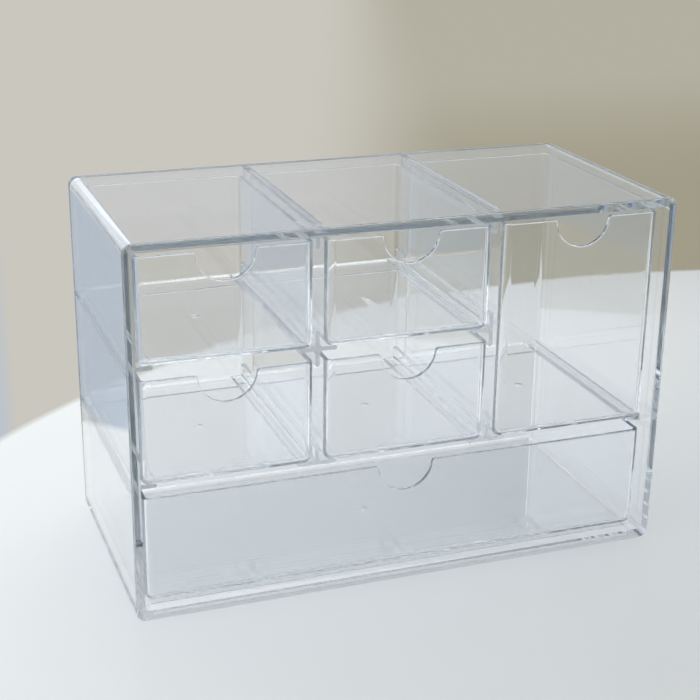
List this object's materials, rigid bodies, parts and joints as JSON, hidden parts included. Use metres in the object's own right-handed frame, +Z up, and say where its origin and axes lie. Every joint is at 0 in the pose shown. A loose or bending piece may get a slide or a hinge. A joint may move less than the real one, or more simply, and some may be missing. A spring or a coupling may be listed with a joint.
{
  "type": "desktop drawer organizer",
  "caption": "Clear moulded desktop organizer: an open-fronted case with inner guide rails and sliding open-topped drawers with half-round finger notches.",
  "frame": {"origin": "middle of the base, on the surface that the case's rim stands on", "axes": "+Z up, +X to the right when facing the drawers, drawers open towards -Y"},
  "size_m": [0.24, 0.116, 0.1615],
  "materials": {
    "case_clear": "clear polished polystyrene, 3.7 mm walls, faint cool tint at the edges",
    "drawer_clear": "clear polished polystyrene, 2 mm walls"
  },
  "bodies": {
    "case": {"case_shell": "case_clear"},
    "drawer_upper_left": {"drawer_upper_left": "drawer_clear"},
    "drawer_upper_middle": {"drawer_upper_middle": "drawer_clear"},
    "drawer_lower_left": {"drawer_lower_left": "drawer_clear"},
    "drawer_lower_middle": {"drawer_lower_middle": "drawer_clear"},
    "drawer_tall_right": {"drawer_tall_right": "drawer_clear"},
    "drawer_bottom_wide": {"drawer_bottom_wide": "drawer_clear"}
  },
  "joints": [
    {"name": "drawer_upper_left_slide", "type": "slide", "parent": "case", "child": "drawer_upper_left", "axis": [0, -1, 0], "range_m": [0, 0.085]},
    {"name": "drawer_upper_middle_slide", "type": "slide", "parent": "case", "child": "drawer_upper_middle", "axis": [0, -1, 0], "range_m": [0, 0.085]},
    {"name": "drawer_lower_left_slide", "type": "slide", "parent": "case", "child": "drawer_lower_left", "axis": [0, -1, 0], "range_m": [0, 0.085]},
    {"name": "drawer_lower_middle_slide", "type": "slide", "parent": "case", "child": "drawer_lower_middle", "axis": [0, -1, 0], "range_m": [0, 0.085]},
    {"name": "drawer_tall_right_slide", "type": "slide", "parent": "case", "child": "drawer_tall_right", "axis": [0, -1, 0], "range_m": [0, 0.085]},
    {"name": "drawer_bottom_wide_slide", "type": "slide", "parent": "case", "child": "drawer_bottom_wide", "axis": [0, -1, 0], "range_m": [0, 0.085]}
  ]
}
